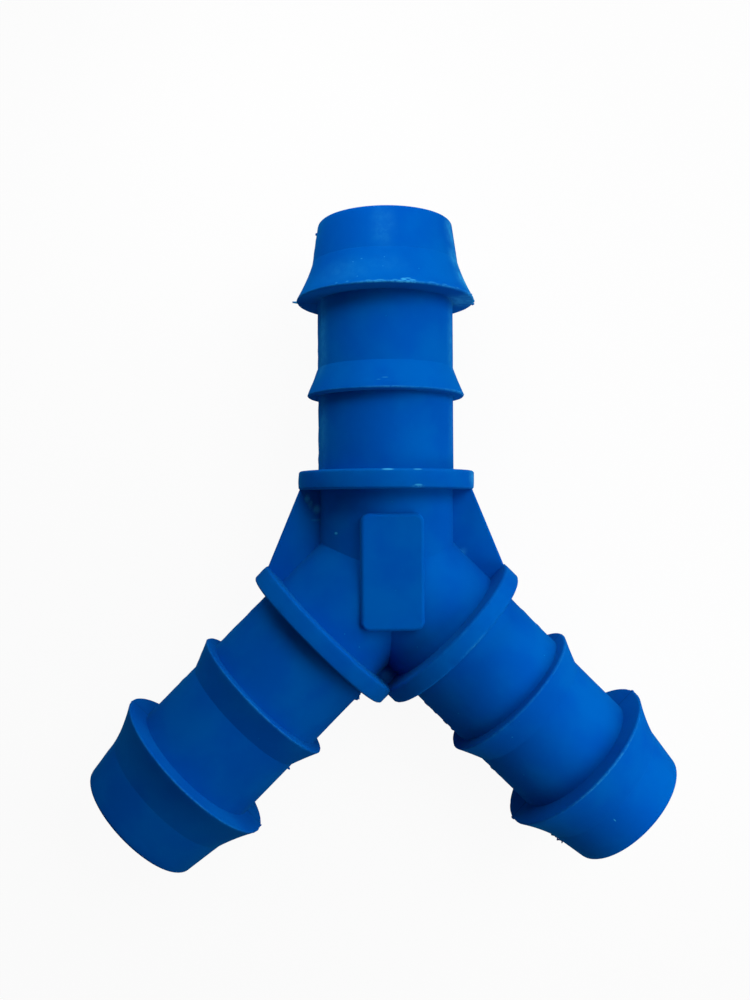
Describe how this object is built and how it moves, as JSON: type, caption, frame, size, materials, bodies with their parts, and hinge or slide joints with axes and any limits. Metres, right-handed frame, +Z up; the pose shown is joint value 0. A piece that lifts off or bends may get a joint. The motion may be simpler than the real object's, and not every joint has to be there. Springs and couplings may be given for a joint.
{
  "type": "tubing y connector",
  "caption": "Moulded plastic Y connector for hose: barbed tails branch from a hub that collars and thin webs brace, with a round bore through each tail.",
  "frame": {"origin": "under the middle of the connector's footprint, on the surface that it lies on", "axes": "+Y along the single tail and out of its mouth, +Z up, square to the plane that all tails share, +X towards the right branch; the branches run towards -Y"},
  "size_m": [0.073, 0.08, 0.0224],
  "materials": {
    "blue_plastic": "satin moulded polypropylene"
  },
  "bodies": {
    "root": {"y_connector": "blue_plastic"}
  },
  "joints": []
}
